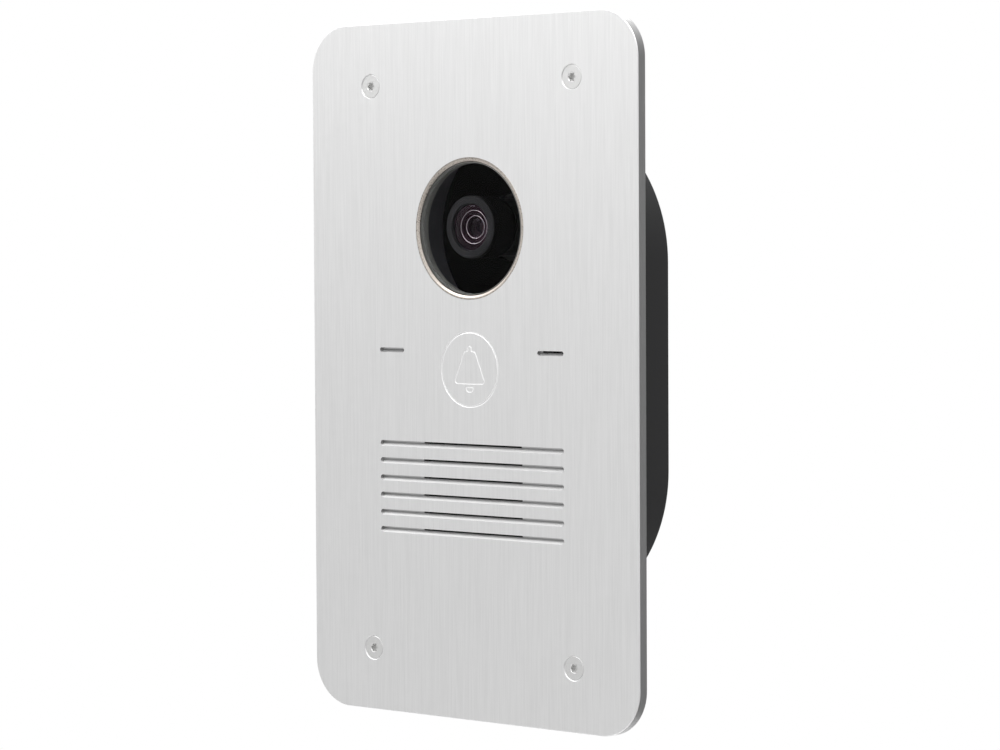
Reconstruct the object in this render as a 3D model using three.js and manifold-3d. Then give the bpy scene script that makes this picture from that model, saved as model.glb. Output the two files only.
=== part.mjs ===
import * as THREE from 'three';
import { ConvexGeometry } from 'three/addons/geometries/ConvexGeometry.js';
import { mergeVertices } from 'three/addons/utils/BufferGeometryUtils.js';
import Module from 'manifold-3d';

const wasm = await Module();
wasm.setup();

// A flush video doorbell, in millimetres. X runs across the front, Z runs up, and Y runs
// from the visitor into the wall. The origin is the middle of the wall opening, in the
// plane of the front plate's back face.

// ---------- Driving dimensions ----------

const GAP = 0.3;                          // joint line between pieces that touch
const SKIN = 0.92;                        // metal left in front of the pockets

// Facets round a full circle: on the large openings, on most pieces, and on small fasteners.
const FINE = 48;
const ROUND = 28;
const SMALL = 12;
const HALF_ROUND = 16;                    // facets round a half circle of the housing

const PLATE = { width: 110, height: 180, depth: 3, corner: 12 };
const FRONT = -PLATE.depth;
const SCREW = { x: 34, z: 73.8, head: 3.0, sink: 3.35, shank: 1.45, clearance: 1.7, length: 17 };

const WINDOW = { z: 36.4, hole: 18.2, ring: 17.1, pane: 1.5 };
const LENS = { x: -1.15, z: 0.4, radius: 8.05, mouth: 6.06, front: -0.9, glassBack: 0.1 };
const LENS_TUBE = { shoulder: 8.6, thread: 5.95, bore: 3.5, throat: 2.9, back: 18 };
const LENS_HOLDER = { radius: 7.6, bore: 6.2, front: 9.2, foot: 20, footFront: 18 };
const WELL = { radius: 25.5, wall: 1.2, front: 1.3, floor: 16.25, flat: 23.7 };
const CAMERA_BOARD = { width: 36, height: 34, front: 20.5, thickness: 1.6, screwX: 14.5, screwZ: 13.5 };
const SENSOR = { size: 7, front: 19 };
const FLEX = { x: 2, width: 12, thickness: 0.4, low: 3, bendStart: 6, bendEnd: 14, high: 25 };

const BUTTON = { z: 0.35, hole: 9.62, radius: 9.5, chamfer: 0.17, flange: 10.3, stem: 2, stemEnd: 8.1 };
const GUIDE = { radius: 10.5, front: 2.8, wall: 1.5 };
const CALL_SWITCH = { size: 8, front: 9.9, well: 12.4 };
const SWITCH_PLUNGER = { radius: 1.7, front: 8.4, back: 11.6 };

const MIC_SLOT = { x: 26.85, z: 4.9, length: 8.5, height: 1.2 };
const MIC_POCKET = { x: 26.9, radius: 3.25 };
const GRILLE = { length: 62.2, height: 1.5, depth: 1.0, floor: 0.4, top: -19.55, pitch: 4.53, count: 6 };
const SPEAKER = { z: -31.1, radius: 20, pocket: 16.7, magnet: 9, magnetBack: 12.3 };

const HOUSING = { z: 0.95, radius: 39.95, straight: 26.65, wall: 2, front: 1.6, back: 29 };
const FLANGE = { radius: 46.9, thickness: 2, studX: 43.4, studZ: 22 };
const STUD = { radius: 1.45, length: 7.6, hole: 1.75 };
const NUT = { radius: 3.1, bore: 1.7, thickness: 2.4 };

const BOARD = { radius: 36.5, top: 9.5, front: 13.4, thickness: 1.6 };
const BOARD_SCREWS = [[-32, 3.5], [32, 3.5], [-27, -44], [27, -44]];
const CAMERA_SCREWS = [[-1, -1], [1, 1]];
const BOARD_SCREW = { head: 2.3, shank: 1.2, headHeight: 1.8, length: 9.9, hole: 1.6, pilot: 1.5 };
const CAMERA_SCREW = { head: 1.9, shank: 0.95, headHeight: 1.3, length: 5, hole: 1.3, pilot: 1.25 };
const BOSS = 3;
const JACK = { x: -14, z: -22, width: 16, height: 13.8, mouthDepth: 10.6, latchDepth: 8.6 };
const TERMINAL = { x: 14, z: -22, width: 16, height: 8.6, headerBack: 24.5, ways: 4, pitch: 3.5 };
const RESET = { x: 30, z: -22, size: 6, back: 18.8, hole: 2.2, plunger: 1.6, plungerFront: 17 };
const CAPACITOR = { x: -30, radius: 4, back: 26.7, rows: [-14, -25] };
const RELAY = { x: -8, z: -50, width: 19, height: 10, back: 26.5 };
const TRANSFORMER = { x: 12, z: -49, core: 13, winding: 9, back: 24.5 };
const PROCESSOR = { x: -12, z: -1, size: 14, thickness: 1.4 };

const BOARD_BACK = BOARD.front + BOARD.thickness;
const REAR = BOARD_BACK + GAP;            // where the parts on the back of the board begin
const HOUSING_FLOOR = HOUSING.back - HOUSING.wall;

// ---------- Materials ----------

const material = (color, roughness, metalness) =>
  new THREE.MeshStandardMaterial({ color, roughness, metalness });

const MATERIALS = {
  aluminium: material(0xd3d3d1, 0.38, 1),
  steel: material(0xb9b9b7, 0.32, 1),
  champagne: material(0xd8cbb8, 0.3, 1),
  glass: material(0xe8eeee, 0.04, 0),
  blackPlastic: material(0x1d1d1e, 0.55, 0),
  blackMetal: material(0x29292b, 0.42, 1),
  rubber: material(0x2a2a2b, 0.85, 0),
  foam: material(0x3a3a3a, 0.95, 0),
  greyPlastic: material(0x8b8d8e, 0.5, 0),
  greenPlastic: material(0x2f8a4b, 0.5, 0),
  circuit: material(0x1d5a3a, 0.45, 0),
  chip: material(0x202124, 0.4, 0),
  copper: material(0xb9722d, 0.35, 1),
  paper: material(0x2b2b2d, 0.8, 0),
  mesh: material(0x161616, 0.9, 0),
};

// ---------- Geometry helpers ----------

function toSolid(geometry) {
  const bare = geometry.clone();
  bare.deleteAttribute('normal');
  bare.deleteAttribute('uv');
  const merged = mergeVertices(bare, 1e-4);
  const index = merged.index.array;
  const triangles = [];
  for (let i = 0; i < index.length; i += 3) {
    const [a, b, c] = index.slice(i, i + 3);
    if (a !== b && b !== c && c !== a) triangles.push(a, b, c);
  }
  return new wasm.Manifold(new wasm.Mesh({
    numProp: 3,
    vertProperties: new Float32Array(merged.attributes.position.array),
    triVerts: new Uint32Array(triangles),
  }));
}

function toGeometry(solid) {
  const mesh = solid.getMesh();
  const geometry = new THREE.BufferGeometry();
  geometry.setAttribute('position', new THREE.BufferAttribute(mesh.vertProperties, 3));
  geometry.setIndex(new THREE.BufferAttribute(mesh.triVerts, 1));
  geometry.computeVertexNormals();
  return geometry;
}

function cut(body, tools) {
  return toGeometry(tools.reduce((solid, tool) => solid.subtract(toSolid(tool)), toSolid(body)));
}

function join(pieces) {
  return toGeometry(pieces.slice(1).reduce((solid, next) => solid.add(toSolid(next)),
    toSolid(pieces[0])));
}

const clean = (geometry) => toGeometry(toSolid(geometry));

function turned(profile, segments = ROUND, closed = true) {
  const points = profile.map(([radius, y]) => new THREE.Vector2(radius, y));
  if (closed) points.push(points[0].clone());
  return clean(new THREE.LatheGeometry(points, segments));
}

const disc = (radius, y0, y1, segments = ROUND) =>
  turned([[0, y0], [radius, y0], [radius, y1], [0, y1]], segments, false);

const ring = (inner, outer, y0, y1, segments = ROUND) =>
  turned([[inner, y0], [outer, y0], [outer, y1], [inner, y1]], segments);

function extruded(shape, y0, y1, curveSegments = 8) {
  const options = { depth: y1 - y0, bevelEnabled: false, curveSegments };
  return new THREE.ExtrudeGeometry(shape, options).rotateX(Math.PI / 2).translate(0, y1, 0);
}

function box(width, height, y0, y1, x = 0, z = 0) {
  return new THREE.BoxGeometry(width, y1 - y0, height).translate(x, (y0 + y1) / 2, z);
}

function roundedRectangle(width, height, radius) {
  const x = width / 2 - radius;
  const z = height / 2 - radius;
  const shape = new THREE.Shape();
  shape.absarc(x, z, radius, 0, Math.PI / 2);
  shape.absarc(-x, z, radius, Math.PI / 2, Math.PI);
  shape.absarc(-x, -z, radius, Math.PI, 1.5 * Math.PI);
  shape.absarc(x, -z, radius, 1.5 * Math.PI, 2 * Math.PI);
  shape.closePath();
  return shape;
}

// A stadium: two half circles joined by straight sides along Z.
function stadium(radius, straight) {
  const shape = new THREE.Shape();
  shape.absarc(0, straight, radius, 0, Math.PI);
  shape.absarc(0, -straight, radius, Math.PI, 2 * Math.PI);
  shape.closePath();
  return shape;
}

function mesh(name, geometry, surface, x = 0, z = 0) {
  const piece = new THREE.Mesh(geometry, MATERIALS[surface]);
  piece.name = name;
  piece.position.set(x, 0, z);
  return piece;
}

function group(z, ...pieces) {
  const nest = new THREE.Group();
  nest.position.z = z;
  nest.add(...pieces);
  return nest;
}

// ---------- Front plate, its screws and studs ----------

// A groove along X. Its floor slopes up to the plate's face at the lower edge, like a louvre.
function groove(length, height, depth) {
  const points = [];
  const outline = (tall, z, y) => {
    for (const point of roundedRectangle(length, tall, tall / 2 - 0.001).getPoints(3)) {
      points.push(new THREE.Vector3(point.x, y, point.y + z));
    }
  };
  outline(height, 0, FRONT - 1);
  outline(height, 0, FRONT);
  outline(GRILLE.floor, (height - GRILLE.floor) / 2, FRONT + depth);
  return new ConvexGeometry(points);
}

function frontPlate() {
  const tools = [];
  for (const x of [-SCREW.x, SCREW.x]) {
    for (const z of [-SCREW.z, SCREW.z]) {
      const sinkEnd = FRONT + SCREW.sink - SCREW.clearance;
      const hole = turned([[0, FRONT - 1], [SCREW.sink + 1, FRONT - 1],
        [SCREW.clearance, sinkEnd], [SCREW.clearance, 1], [0, 1]], SMALL * 2, false);
      tools.push(hole.translate(x, 0, z));
    }
  }
  tools.push(disc(WINDOW.hole, FRONT - 1, 1, FINE).translate(0, 0, WINDOW.z));
  const buttonHole = turned([[0, FRONT - 1], [BUTTON.hole + BUTTON.chamfer + 1, FRONT - 1],
    [BUTTON.hole, FRONT + BUTTON.chamfer], [BUTTON.hole, 1], [0, 1]], FINE, false);
  tools.push(buttonHole.translate(0, 0, BUTTON.z));
  for (let row = 0; row < GRILLE.count; row += 1) {
    const slot = groove(GRILLE.length, GRILLE.height, GRILLE.depth);
    tools.push(slot.translate(0, 0, GRILLE.top - row * GRILLE.pitch));
  }
  for (const side of [-1, 1]) {
    const slot = groove(MIC_SLOT.length, MIC_SLOT.height, GRILLE.depth);
    tools.push(slot.translate(side * MIC_SLOT.x, 0, MIC_SLOT.z));
  }
  const pocketHeight = (GRILLE.count - 1) * GRILLE.pitch + 2 * GRILLE.height;
  tools.push(box(2 * SPEAKER.pocket, pocketHeight, FRONT + SKIN, 1, 0, SPEAKER.z));
  tools.push(disc(MIC_POCKET.radius, FRONT + SKIN, 1, SMALL).translate(MIC_POCKET.x, 0, MIC_SLOT.z));
  const blank = extruded(roundedRectangle(PLATE.width, PLATE.height, PLATE.corner), FRONT, 0);
  return mesh('front_plate', cut(blank, tools), 'aluminium');
}

function plateScrew() {
  const top = FRONT + 0.15;
  const neck = top + SCREW.head - SCREW.shank;
  const body = turned([[0, top], [SCREW.head, top], [SCREW.shank, neck],
    [SCREW.shank, SCREW.length - 1], [SCREW.shank - 0.6, SCREW.length],
    [0, SCREW.length]], SMALL, false);
  const socket = new THREE.CylinderGeometry(1, 1, 2.4, 6).translate(0, top, 0);
  return cut(body, [socket]);
}

function plateScrews() {
  const corners = [[-1, 1], [1, 1], [-1, -1], [1, -1]];
  return corners.map(([x, z], i) =>
    mesh(`plate_screw_${i + 1}`, plateScrew(), 'steel', x * SCREW.x, z * SCREW.z));
}

function studsAndNuts() {
  const pieces = [];
  const flangeBack = HOUSING.front + FLANGE.thickness;
  const corners = [[-1, 1], [1, 1], [-1, -1], [1, -1]];
  corners.forEach(([sideX, sideZ], i) => {
    const x = sideX * FLANGE.studX;
    const z = HOUSING.z + sideZ * FLANGE.studZ;
    const stud = turned([[0, GAP], [STUD.radius, GAP], [STUD.radius, STUD.length - 0.4],
      [STUD.radius - 0.35, STUD.length], [0, STUD.length]], SMALL, false);
    const hexagon = new THREE.CylinderGeometry(NUT.radius, NUT.radius, NUT.thickness, 6);
    hexagon.translate(0, flangeBack + GAP + NUT.thickness / 2, 0);
    const nut = cut(hexagon, [disc(NUT.bore, flangeBack, flangeBack + 2 * NUT.thickness, SMALL)]);
    pieces.push(mesh(`plate_stud_${i + 1}`, stud, 'steel', x, z));
    pieces.push(mesh(`flange_nut_${i + 1}`, nut, 'steel', x, z));
  });
  return pieces;
}

// ---------- Camera: window, well, lens and board ----------

function windowPieces() {
  const paneFront = FRONT + 0.35;
  const paneBack = paneFront + WINDOW.pane;
  const trim = turned([[WINDOW.ring, paneFront], [WINDOW.ring + 0.9, FRONT],
    [WINDOW.ring + 1.05, FRONT + 0.15], [WINDOW.ring + 1.05, GAP], [20.5, GAP], [20.5, 1.1],
    [WINDOW.ring, 1.1]], FINE);
  const pane = disc(WINDOW.ring - 0.1, paneFront, paneBack, FINE);
  const seal = ring(WINDOW.ring - 0.55, WINDOW.ring - 0.1, paneBack + 0.1, 1.0, FINE);
  return [
    mesh('window_trim', trim, 'champagne'),
    mesh('window_pane', pane, 'glass'),
    mesh('window_seal', seal, 'rubber'),
  ];
}

// A circle with its lowest part cut straight, so that it clears the call button.
function flattenedCircle(radius, flat) {
  const dip = Math.asin(flat / radius);
  const shape = new THREE.Shape();
  shape.absarc(0, 0, radius, -dip, Math.PI + dip);
  shape.closePath();
  return shape;
}

function wellPieces() {
  const outer = flattenedCircle(WELL.radius + WELL.wall, WELL.flat + WELL.wall);
  const inner = flattenedCircle(WELL.radius, WELL.flat);
  const back = WELL.floor + WELL.wall;
  const shroud = cut(extruded(outer, WELL.front, back, HALF_ROUND * 2), [
    extruded(inner, WELL.front - 1, WELL.floor, HALF_ROUND * 2),
    disc(LENS.radius + 0.9, WELL.floor - 1, back + 1).translate(LENS.x, 0, LENS.z),
  ]);
  const gasket = cut(extruded(outer, GAP, WELL.front - GAP, HALF_ROUND * 2), [
    extruded(inner, 0, WELL.front, HALF_ROUND * 2),
  ]);
  return [
    mesh('camera_shroud', shroud, 'blackPlastic'),
    mesh('shroud_gasket', gasket, 'foam'),
  ];
}

function lensPieces() {
  const front = LENS.front;
  const { shoulder, thread, bore, throat, back } = LENS_TUBE;
  const barrel = turned([[LENS.mouth, front], [LENS.radius - 0.3, front],
    [LENS.radius, front + 0.3], [LENS.radius, shoulder], [thread, shoulder], [thread, back],
    [bore, back], [bore, 3.4], [throat, 3.0], [throat, 1.6], [LENS.mouth, 0.5]]);
  const frontGlass = turned([[0, front + 0.05], [2.2, front + 0.13], [4.2, front + 0.35],
    [5.9, front + 0.7], [5.9, LENS.glassBack], [0, LENS.glassBack]], ROUND, false);
  const innerGlass = turned([[0, 1.8], [1.5, 1.95], [2.7, 2.3], [2.7, 2.9], [0, 2.9]], SMALL * 2,
    false);
  const { foot, footFront } = LENS_HOLDER;
  const footBack = CAMERA_BOARD.front - GAP;
  const holder = cut(join([
    disc(LENS_HOLDER.radius, LENS_HOLDER.front, footFront + 0.5, SMALL * 2),
    box(foot, foot, footFront, footBack),
  ]), [disc(LENS_HOLDER.bore, LENS_HOLDER.front - 1, footBack + 1, SMALL * 2)]);
  return [
    mesh('lens_barrel', barrel, 'blackMetal', LENS.x, LENS.z),
    mesh('lens_front_element', frontGlass, 'glass', LENS.x, LENS.z),
    mesh('lens_inner_element', innerGlass, 'glass', LENS.x, LENS.z),
    mesh('lens_holder', holder, 'blackPlastic', LENS.x, LENS.z),
    mesh('image_sensor', box(SENSOR.size, SENSOR.size, SENSOR.front, footBack), 'chip', LENS.x,
      LENS.z),
  ];
}

// A pan-head screw whose head rests at seat.
function panHeadScrew({ head, shank, headHeight, length }, seat) {
  const top = seat - headHeight;
  const end = seat + length;
  const body = turned([[0, top], [head - 0.4, top], [head, top + 0.4], [head, seat],
    [shank, seat], [shank, end], [0, end]], SMALL, false);
  const socket = new THREE.CylinderGeometry(head * 0.45, head * 0.45, headHeight, 6);
  return cut(body, [socket.translate(0, top, 0)]);
}

function cameraBoardPieces() {
  const { width, height, front, thickness, screwX, screwZ } = CAMERA_BOARD;
  const holes = CAMERA_SCREWS.map(([x, z]) =>
    disc(CAMERA_SCREW.hole, front - 1, front + 3, SMALL).translate(x * screwX, 0, z * screwZ));
  const board = cut(box(width, height, front, front + thickness), holes);
  const screws = CAMERA_SCREWS.map(([x, z], i) => {
    const screw = panHeadScrew(CAMERA_SCREW, front - GAP);
    return mesh(`camera_board_screw_${i + 1}`, screw, 'steel', x * screwX, z * screwZ);
  });
  return [mesh('camera_board', board, 'circuit'), ...screws];
}

// The flat flexible cable leaves the back of the main board and climbs behind the camera board.
function cameraFlex() {
  const { x, width, thickness, low, bendStart, bendEnd, high } = FLEX;
  const lowY = REAR;
  const highY = CAMERA_BOARD.front + CAMERA_BOARD.thickness + GAP;
  const handle = bendStart + 3;
  const shape = new THREE.Shape();
  shape.moveTo(lowY, low);
  shape.lineTo(lowY, bendStart);
  shape.bezierCurveTo(lowY, handle, highY, handle, highY, bendEnd);
  shape.lineTo(highY, high);
  shape.lineTo(highY + thickness, high);
  shape.lineTo(highY + thickness, bendEnd);
  shape.bezierCurveTo(highY + thickness, handle, lowY + thickness, handle,
    lowY + thickness, bendStart);
  shape.lineTo(lowY + thickness, low);
  shape.closePath();
  const options = { depth: width, bevelEnabled: false, curveSegments: 6 };
  const strip = new THREE.ExtrudeGeometry(shape, options);
  const toBoard = new THREE.Matrix4().set(0, 0, 1, x, 1, 0, 0, 0, 0, 1, 0, 0, 0, 0, 0, 1);
  return mesh('camera_flex', strip.applyMatrix4(toBoard), 'copper');
}

// ---------- Call button ----------

// The outline of the bell, as corner points moved outwards by a distance.
function bellOutline(offset) {
  const half = [[0.6, 5.65], [0.75, 5.0], [1.75, 4.3], [2.1, 3.5], [4.75, -2.2], [5.0, -2.8],
    [4.75, -3.4], [4.2, -3.65]];
  const corners = [...half, ...half.map(([x, z]) => [-x, z]).reverse()].reverse();
  const count = corners.length;
  const shape = new THREE.Shape();
  corners.forEach(([x, z], i) => {
    const before = corners[(i + count - 1) % count];
    const after = corners[(i + 1) % count];
    const along = new THREE.Vector2(after[0] - before[0], after[1] - before[1]).normalize();
    const moved = [x + along.y * offset, z - along.x * offset];
    if (i === 0) shape.moveTo(...moved);
    else shape.lineTo(...moved);
  });
  shape.closePath();
  return shape;
}

function callButton() {
  const { radius, chamfer, flange, stem, stemEnd } = BUTTON;
  const body = turned([[0, FRONT], [radius - chamfer, FRONT], [radius, FRONT + chamfer],
    [radius, 1.2], [flange, 1.2], [flange, 2], [stem, 2], [stem, stemEnd], [0, stemEnd]],
    FINE, false);
  const engraving = bellOutline(0.15);
  engraving.holes.push(bellOutline(-0.15));
  const clapper = new THREE.Shape();
  clapper.absarc(0, -4.6, 1.2, Math.PI, 2 * Math.PI);
  clapper.closePath();
  const inside = new THREE.Path();
  inside.absarc(0, -4.8, 0.8, Math.PI, 2 * Math.PI);
  clapper.holes.push(inside);
  const depth = FRONT + 0.2;
  const cuts = [engraving, clapper].map((shape) => extruded(shape, FRONT - 1, depth, 8));
  return mesh('call_button', cut(body, cuts), 'aluminium', 0, BUTTON.z);
}

function buttonPieces() {
  const { radius, front, wall } = GUIDE;
  const boardSide = BOARD.front - GAP;
  const bore = BUTTON.stem + 0.15;
  const guide = turned([[bore, front], [radius, front], [radius, boardSide],
    [radius - wall, boardSide], [radius - wall, front + wall], [bore, front + wall]]);
  const { size, front: switchFront, well } = CALL_SWITCH;
  const switchBody = cut(box(size, size, switchFront, boardSide), [
    disc(SWITCH_PLUNGER.radius + GAP, switchFront - 1, well, SMALL),
  ]);
  const plunger = disc(SWITCH_PLUNGER.radius, SWITCH_PLUNGER.front, SWITCH_PLUNGER.back, SMALL);
  return [
    callButton(),
    mesh('button_seal', ring(9.75, 10.5, GAP, 0.9), 'rubber', 0, BUTTON.z),
    mesh('button_guide', guide, 'blackPlastic', 0, BUTTON.z),
    mesh('call_switch', switchBody, 'blackPlastic', 0, BUTTON.z),
    mesh('switch_plunger', plunger, 'greyPlastic', 0, BUTTON.z),
  ];
}

// ---------- Loudspeaker and microphone ----------

function speakerPieces() {
  const { radius } = SPEAKER;
  const frame = turned([[17, 2.7], [radius, 2.7], [radius, 3.9], [17.8, 3.9], [12, 9],
    [6.5, 9], [6.5, 8], [11.3, 8], [16.6, 3.6]]);
  const cone = turned([[0, 4.4], [2.8, 4.7], [4.8, 5.8], [6, 6], [15.9, 3], [15.9, 3.4],
    [6.2, 6.4], [5.8, 6.5], [5.8, 8.6], [5.2, 8.6], [5.2, 6.3], [4.6, 6.15], [2.6, 5.1],
    [0, 4.8]], SMALL * 2, false);
  const { magnet: rim, magnetBack } = SPEAKER;
  const magnet = turned([[0, 9.3], [rim - 0.5, 9.3], [rim, 9.7], [rim, magnetBack - 0.4],
    [rim - 0.4, magnetBack], [0, magnetBack]], SMALL * 2, false);
  return [
    mesh('acoustic_mesh', disc(18.8, GAP, 0.6), 'mesh'),
    mesh('speaker_gasket', ring(16.9, 19.8, 0.9, 2.4), 'foam'),
    mesh('speaker_frame', frame, 'blackPlastic'),
    mesh('speaker_cone', cone, 'paper'),
    mesh('speaker_magnet', magnet, 'steel'),
    mesh('speaker_pad', disc(7, magnetBack + GAP, BOARD.front - GAP, SMALL), 'foam'),
  ];
}

function microphonePieces() {
  const boot = turned([[1.2, GAP], [4.4, GAP], [4.4, 5.6], [3.3, 5.6], [3.3, 1.3], [1.2, 1.3]],
    SMALL * 2);
  return [
    mesh('microphone_boot', boot, 'rubber', MIC_POCKET.x, MIC_SLOT.z),
    mesh('microphone_capsule', disc(3, 1.6, 4.6, SMALL), 'steel', MIC_POCKET.x, MIC_SLOT.z),
  ];
}

// A flat two-core lead along a smooth curve.
function lead(name, points) {
  const path = new THREE.CatmullRomCurve3(points.map((point) => new THREE.Vector3(...point)));
  const section = roundedRectangle(1.1, 2.2, 0.4);
  const options = { steps: 14, extrudePath: path, curveSegments: 1 };
  return mesh(name, clean(new THREE.ExtrudeGeometry(section, options)), 'rubber');
}

function leads() {
  const boardSide = BOARD.front - GAP;
  const micX = MIC_POCKET.x;
  return [
    lead('speaker_lead', [[15, 7.6, -22], [18, 8.6, -20], [23, 9, -17], [27, 9.6, -14],
      [28.5, 11.4, -13], [28.6, boardSide, -13]]),
    lead('microphone_lead', [[micX, 4.9, 4.9], [micX, 7, 4.6], [micX - 2, 9, 2],
      [micX - 3, 10.6, -1], [micX - 3, boardSide, -2]]),
  ];
}

// ---------- Rear housing and its gasket ----------

function studHoles(radius) {
  const holes = [];
  for (const x of [-FLANGE.studX, FLANGE.studX]) {
    for (const z of [-FLANGE.studZ, FLANGE.studZ]) {
      holes.push(disc(radius, -1, 8, SMALL).translate(x, 0, z));
    }
  }
  return holes;
}

function housingPieces() {
  const { radius, straight, wall, front, back } = HOUSING;
  const cavity = extruded(stadium(radius - wall, straight), front - 1, HOUSING_FLOOR, HALF_ROUND);
  const shell = cut(join([
    extruded(stadium(radius, straight), front, back, HALF_ROUND),
    extruded(stadium(FLANGE.radius, straight), front, front + FLANGE.thickness, HALF_ROUND),
  ]), [cavity, ...studHoles(STUD.hole)]);
  const bosses = [];
  const pilots = [];
  const addBoss = (x, z, start, hole) => {
    bosses.push(disc(BOSS, start, HOUSING_FLOOR + 1, SMALL).translate(x, 0, z));
    pilots.push(disc(hole, start - 1, HOUSING_FLOOR - 1, SMALL).translate(x, 0, z));
  };
  for (const [x, z] of BOARD_SCREWS) {
    addBoss(x, z - HOUSING.z, REAR, BOARD_SCREW.pilot);
  }
  for (const [x, z] of CAMERA_SCREWS) {
    const height = WINDOW.z - HOUSING.z + z * CAMERA_BOARD.screwZ;
    const start = CAMERA_BOARD.front + CAMERA_BOARD.thickness + GAP;
    addBoss(x * CAMERA_BOARD.screwX, height, start, CAMERA_SCREW.pilot);
  }
  const wallStart = HOUSING_FLOOR - 1;
  const wallEnd = back + 1;
  const openings = [
    box(JACK.width + 1, JACK.height + 1, wallStart, wallEnd, JACK.x, JACK.z - HOUSING.z),
    box(TERMINAL.width + 1, TERMINAL.height + 1, wallStart, wallEnd, TERMINAL.x,
      TERMINAL.z - HOUSING.z),
    disc(RESET.hole, wallStart, wallEnd, SMALL).translate(RESET.x, 0, RESET.z - HOUSING.z),
  ];
  const housing = cut(join([shell, ...bosses]), [...pilots, ...openings]);
  const gasketOuter = stadium(FLANGE.radius - 0.4, straight);
  const gasket = cut(extruded(gasketOuter, GAP, front - GAP, HALF_ROUND), [
    extruded(stadium(radius - wall + 0.6, straight), 0, front, HALF_ROUND),
    ...studHoles(STUD.hole + 0.15),
  ]);
  return [mesh('rear_housing', housing, 'blackPlastic'), mesh('housing_gasket', gasket, 'rubber')];
}

// ---------- Main board and what stands on it ----------

function mainBoard() {
  const centre = HOUSING.z - HOUSING.straight;
  const shape = new THREE.Shape();
  shape.absarc(0, centre, BOARD.radius, Math.PI, 2 * Math.PI);
  shape.lineTo(BOARD.radius, BOARD.top);
  shape.lineTo(-BOARD.radius, BOARD.top);
  shape.closePath();
  const holes = BOARD_SCREWS.map(([x, z]) =>
    disc(BOARD_SCREW.hole, BOARD.front - 1, BOARD_BACK + 1, SMALL).translate(x, 0, z));
  const blank = extruded(shape, BOARD.front, BOARD_BACK, HALF_ROUND);
  return mesh('main_board', cut(blank, holes), 'circuit');
}

function boardScrews() {
  return BOARD_SCREWS.map(([x, z], i) => mesh(`board_screw_${i + 1}`,
    panHeadScrew(BOARD_SCREW, BOARD.front - GAP), 'steel', x, z));
}

// An upright socket for a network plug: its mouth faces the wall.
function networkJack() {
  const back = HOUSING.back - 0.4;
  const body = box(JACK.width, JACK.height, REAR, back);
  const mouth = box(11.9, 7, back - JACK.mouthDepth, back + 1, 0, 0.6);
  const latch = box(6, 2.6, back - JACK.latchDepth, back + 1, 0, -4);
  return mesh('network_jack', cut(body, [mouth, latch]), 'blackPlastic', JACK.x, JACK.z);
}

function terminalPieces() {
  const { x, z, width, height, headerBack, ways, pitch } = TERMINAL;
  const header = cut(box(width, height, REAR, headerBack), [
    box(width - 2.6, height - 2.6, REAR + 2, headerBack + 1),
  ]);
  const plug = join([
    box(width - 3.2, height - 3.2, REAR + 2.4, headerBack + 1),
    box(width - 0.4, height - 0.4, headerBack + GAP, HOUSING.back - 0.6),
  ]);
  const entries = [];
  for (let way = 0; way < ways; way += 1) {
    const place = (way - (ways - 1) / 2) * pitch;
    entries.push(box(2.4, 2.6, HOUSING.back - 4.5, HOUSING.back + 1, place, 1.4));
    entries.push(disc(1.2, HOUSING.back - 2.5, HOUSING.back + 1, 8).translate(place, 0, -2.1));
  }
  return [
    mesh('terminal_header', header, 'greenPlastic', x, z),
    mesh('terminal_plug', cut(plug, entries), 'greenPlastic', x, z),
  ];
}

function resetPieces() {
  const { x, z, size, back, plunger, plungerFront } = RESET;
  const body = cut(box(size, size, REAR, back), [
    disc(plunger + GAP, plungerFront - 0.8, back + 1, SMALL),
  ]);
  const button = disc(plunger, plungerFront, HOUSING.back - 0.4, SMALL);
  return [
    mesh('reset_switch', body, 'blackPlastic', x, z),
    mesh('reset_button', button, 'greyPlastic', x, z),
  ];
}

function boardParts() {
  const { radius, back } = CAPACITOR;
  const capacitors = CAPACITOR.rows.map((z, i) => {
    const can = turned([[0, REAR], [radius - 0.2, REAR], [radius, REAR + 0.3],
      [radius, back - 0.3], [radius - 0.2, back], [0, back]], SMALL, false);
    return mesh(`capacitor_${i + 1}`, can, 'chip', CAPACITOR.x, z);
  });
  const relay = box(RELAY.width, RELAY.height, REAR, RELAY.back);
  const { core, winding, back: coreBack } = TRANSFORMER;
  const transformer = join([
    box(core, core - 5, REAR, coreBack),
    box(winding, core - 1, REAR + 1, coreBack - 1),
  ]);
  const processor = box(PROCESSOR.size, PROCESSOR.size, REAR, REAR + PROCESSOR.thickness);
  return [
    ...capacitors,
    mesh('relay', relay, 'blackPlastic', RELAY.x, RELAY.z),
    mesh('power_transformer', transformer, 'chip', TRANSFORMER.x, TRANSFORMER.z),
    mesh('processor', processor, 'chip', PROCESSOR.x, PROCESSOR.z),
  ];
}

// ---------- Assembly ----------

const doorbell = new THREE.Group();
doorbell.add(
  frontPlate(),
  ...plateScrews(),
  group(WINDOW.z, ...windowPieces(), ...wellPieces(), ...lensPieces(), ...cameraBoardPieces()),
  cameraFlex(),
  ...buttonPieces(),
  group(SPEAKER.z, ...speakerPieces()),
  ...microphonePieces(),
  ...leads(),
  ...studsAndNuts(),
  group(HOUSING.z, ...housingPieces()),
  mainBoard(),
  ...boardScrews(),
  networkJack(),
  ...terminalPieces(),
  ...resetPieces(),
  ...boardParts(),
);

export default doorbell;
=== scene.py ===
import math

import bmesh
import bpy
from mathutils import Matrix, Vector


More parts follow.
